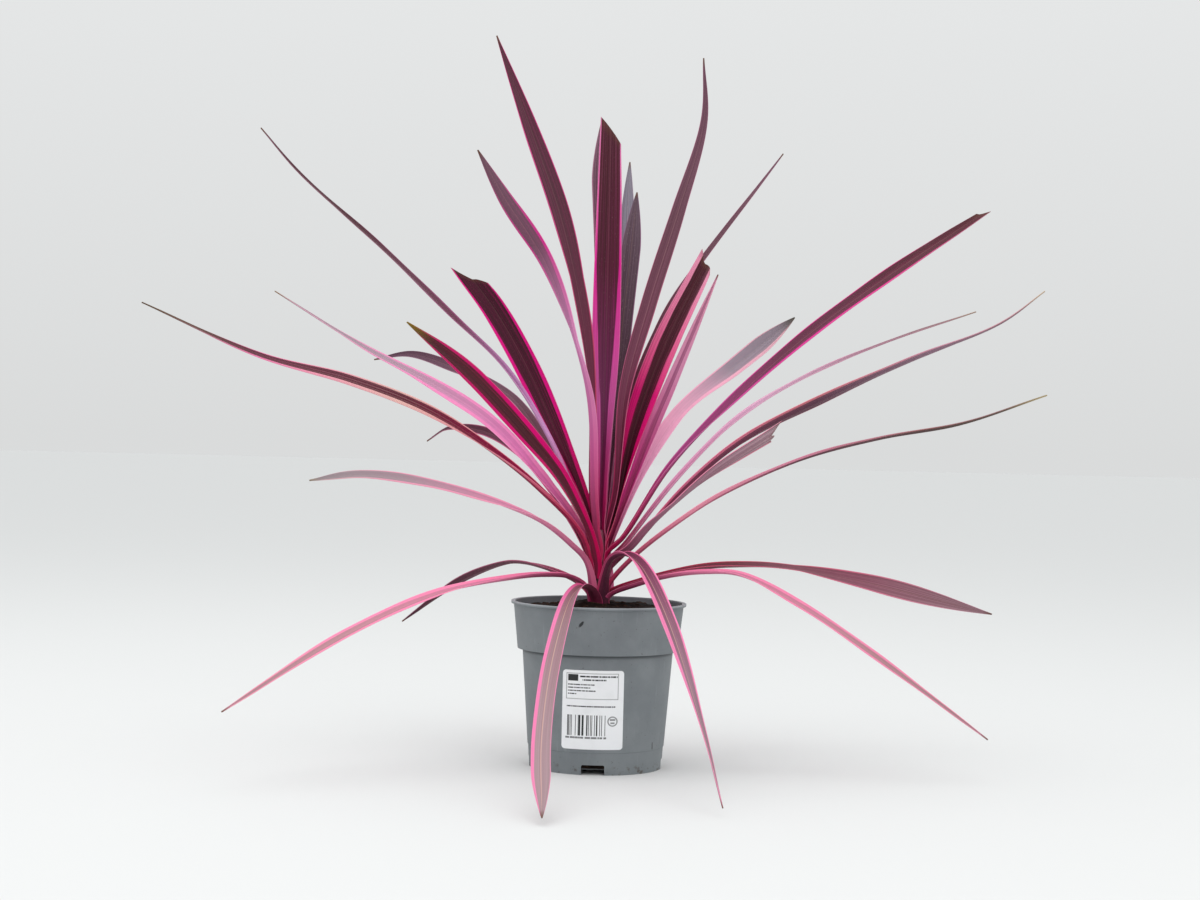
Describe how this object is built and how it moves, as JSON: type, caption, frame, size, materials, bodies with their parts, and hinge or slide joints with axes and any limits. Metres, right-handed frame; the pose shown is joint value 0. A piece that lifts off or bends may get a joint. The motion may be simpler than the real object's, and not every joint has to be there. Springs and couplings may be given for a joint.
{
  "type": "potted cordyline plant",
  "caption": "Potted cordyline with long burgundy strap leaves edged in hot pink, fanning out from a short stem in a round grey nursery pot filled with compost.",
  "frame": {"origin": "on the axis of the pot at the underside of its base, the face that the plant stands on", "axes": "-Z is the outward normal of the base, +X is the direction of the longest spread of the leaves, and the sticker on the pot faces -Y"},
  "size_m": [0.8924, 0.6428, 0.7133],
  "materials": {
    "pot": "matte moulded grey",
    "soil": "moist lumpy compost of peat and bark",
    "stem": "crimson, wrapped in leaf bases",
    "label": "white sticker with plain grey marks",
    "leaf": "leathery, burgundy with hot pink margins, softly glossy"
  },
  "bodies": {
    "root": {"pot": "pot", "soil": "soil", "stem": "stem", "label": "label", "leaf_01": "leaf", "leaf_02": "leaf", "leaf_03": "leaf", "leaf_04": "leaf", "leaf_05": "leaf", "leaf_06": "leaf", "leaf_07": "leaf", "leaf_08": "leaf", "leaf_09": "leaf", "leaf_10": "leaf", "leaf_11": "leaf", "leaf_12": "leaf", "leaf_13": "leaf", "leaf_14": "leaf", "leaf_15": "leaf", "leaf_16": "leaf", "leaf_17": "leaf", "leaf_18": "leaf", "leaf_19": "leaf", "leaf_20": "leaf", "leaf_21": "leaf", "leaf_22": "leaf", "leaf_23": "leaf", "leaf_24": "leaf", "leaf_25": "leaf", "leaf_26": "leaf", "leaf_27": "leaf", "leaf_28": "leaf", "leaf_29": "leaf", "leaf_30": "leaf", "leaf_31": "leaf", "leaf_32": "leaf", "leaf_33": "leaf"}
  },
  "joints": []
}
